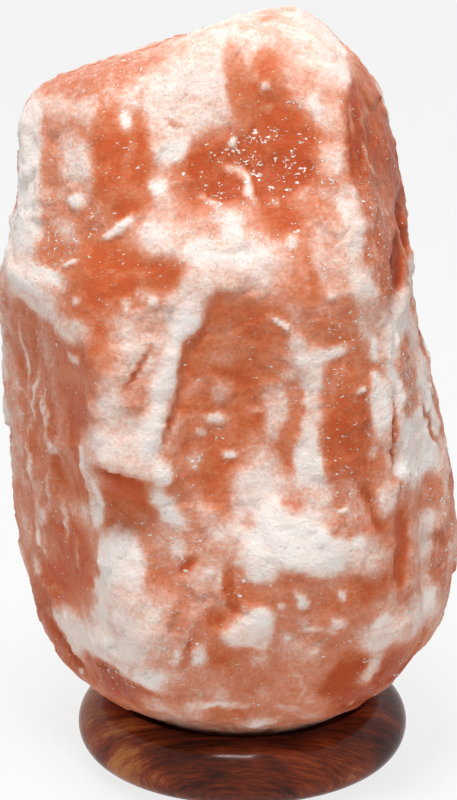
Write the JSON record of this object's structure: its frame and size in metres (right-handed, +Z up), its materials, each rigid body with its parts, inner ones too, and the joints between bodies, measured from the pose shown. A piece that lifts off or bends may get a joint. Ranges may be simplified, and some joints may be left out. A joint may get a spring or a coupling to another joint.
{
  "type": "salt crystal lamp",
  "caption": "Hewn rock salt crystal on a turned, dished wooden base, lit from inside by a small screw bulb in a sprung clip-in holder.",
  "frame": {"origin": "on the axis of the bulb hole, in the plane of the felt's underside, which the lamp rests on", "axes": "+Z up along the bulb hole, -Y the front that the picture shows, +Y the side with the cord notch"},
  "size_m": [0.1891, 0.1676, 0.3214],
  "materials": {
    "rock_salt": "hewn, frosted and translucent",
    "rosewood": "turned, glossy varnish",
    "felt": "pressed felt",
    "zinc_steel": "zinc plated",
    "nylon": "moulded",
    "white_moulding": "moulded",
    "block_ceramic": "unglazed",
    "brass": "drawn",
    "spring_steel": "tempered",
    "solder": "soldered",
    "black_glass": "vitrified",
    "clear_glass": "blown",
    "stem_glass": "pressed",
    "wire": "drawn",
    "tungsten": "wound"
  },
  "bodies": {
    "lamp_body": {"salt_crystal": "rock_salt", "wood_base": "rosewood", "felt_ring": "felt", "crystal_screws": "zinc_steel", "screw_plugs": "nylon"},
    "holder": {"holder_plate": "zinc_steel", "holder_cap": "white_moulding", "holder_screws": "zinc_steel", "holder_sleeve": "white_moulding", "contact_block": "block_ceramic", "screw_shell": "brass", "centre_contact": "brass", "terminal_plates": "brass", "terminal_screws": "brass"},
    "clip_right": {"spring_clip_right": "spring_steel"},
    "clip_left": {"spring_clip_left": "spring_steel"},
    "bulb_tip": {"bulb_contact": "solder"},
    "bulb": {"bulb_insulator": "black_glass", "bulb_cap_shell": "brass", "bulb_glass": "clear_glass", "bulb_stem": "stem_glass", "bulb_lead_wires": "wire", "bulb_filament": "tungsten"}
  },
  "joints": [
    {"name": "holder_slide", "type": "slide", "parent": "lamp_body", "child": "holder", "axis": [0, 0, -1], "range_m": [0, 0.12]},
    {"name": "clip_right_press", "type": "hinge", "parent": "holder", "child": "clip_right", "pos_m": [0.0184, 0, 0.01879], "axis": [0, -1, 0], "range_deg": [0, 7], "stiffness_Nm_per_rad": 0.3},
    {"name": "clip_left_press", "type": "hinge", "parent": "holder", "child": "clip_left", "pos_m": [-0.0184, 0, 0.01879], "axis": [0, 1, 0], "range_deg": [0, 7], "stiffness_Nm_per_rad": 0.3},
    {"name": "bulb_rise", "type": "slide", "parent": "holder", "child": "bulb_tip", "axis": [0, 0, 1], "range_m": [0, 0.0141]},
    {"name": "bulb_turn", "type": "hinge", "parent": "bulb_tip", "child": "bulb", "pos_m": [0, 0, 0.042], "axis": [0, 0, 1], "range_deg": [0, 1800]}
  ],
  "couplings": [
    {"joint": "bulb_turn", "follows": "bulb_rise", "rad_per_m": 2228.1}
  ]
}
